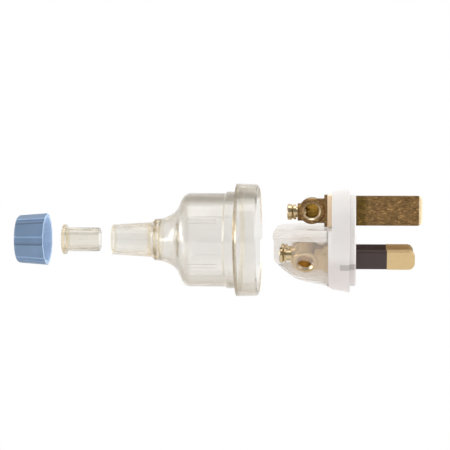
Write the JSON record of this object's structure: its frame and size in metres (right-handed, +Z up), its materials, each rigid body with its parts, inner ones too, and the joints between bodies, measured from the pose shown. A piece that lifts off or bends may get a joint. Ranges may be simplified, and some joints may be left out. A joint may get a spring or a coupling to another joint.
{
  "type": "rewirable electrical plug",
  "caption": "Rewirable three-pin plug taken apart in line: fluted gland nut, flanged cord sleeve, clear bell-shaped cover and pin base with screw terminals.",
  "frame": {"origin": "middle of the pin base's front face, where the pins leave it and where it meets a socket outlet", "axes": "+X along the pins, towards their tips; +Z up, with the earth pin above; +Y away from the viewer"},
  "size_m": [0.1251, 0.0348, 0.0348],
  "materials": {
    "base_plastic": "milky translucent moulding with a soft sheen",
    "clear_plastic": "clear, faintly yellow, polished inside and out",
    "sleeve_vinyl": "soft clear vinyl, slightly yellow",
    "nut_plastic": "satin blue-grey",
    "earth_brass": "tarnished, brushed along the blade",
    "live_brass": "bright, finely brushed",
    "screw_brass": "turned bright",
    "insulation": "dark brown, semi-matt"
  },
  "bodies": {
    "base": {"pin_base": "base_plastic", "earth_pin": "earth_brass", "active_pin": "live_brass", "neutral_pin": "live_brass", "active_pin_insulation": "insulation", "neutral_pin_insulation": "insulation"},
    "cover": {"clear_cover": "clear_plastic"},
    "sleeve": {"cord_sleeve": "sleeve_vinyl"},
    "nut": {"gland_nut": "nut_plastic"},
    "earth_screw": {"earth_terminal_screw": "screw_brass"},
    "active_screw": {"active_terminal_screw": "screw_brass"},
    "neutral_screw": {"neutral_terminal_screw": "screw_brass"}
  },
  "joints": [
    {"name": "cover_slide", "type": "slide", "parent": "base", "child": "cover", "axis": [1, 0, 0], "range_m": [0, 0.0279]},
    {"name": "sleeve_slide", "type": "slide", "parent": "cover", "child": "sleeve", "axis": [1, 0, 0], "range_m": [0, 0.0146]},
    {"name": "nut_slide", "type": "slide", "parent": "sleeve", "child": "nut", "axis": [1, 0, 0], "range_m": [0, 0.013]},
    {"name": "earth_screw_travel", "type": "slide", "parent": "base", "child": "earth_screw", "axis": [1, 0, 0], "range_m": [-0.0011, 0.0004]},
    {"name": "active_screw_travel", "type": "slide", "parent": "base", "child": "active_screw", "axis": [1, 0, 0], "range_m": [0, 0.0015]},
    {"name": "neutral_screw_travel", "type": "slide", "parent": "base", "child": "neutral_screw", "axis": [1, 0, 0], "range_m": [0, 0.0015]}
  ]
}
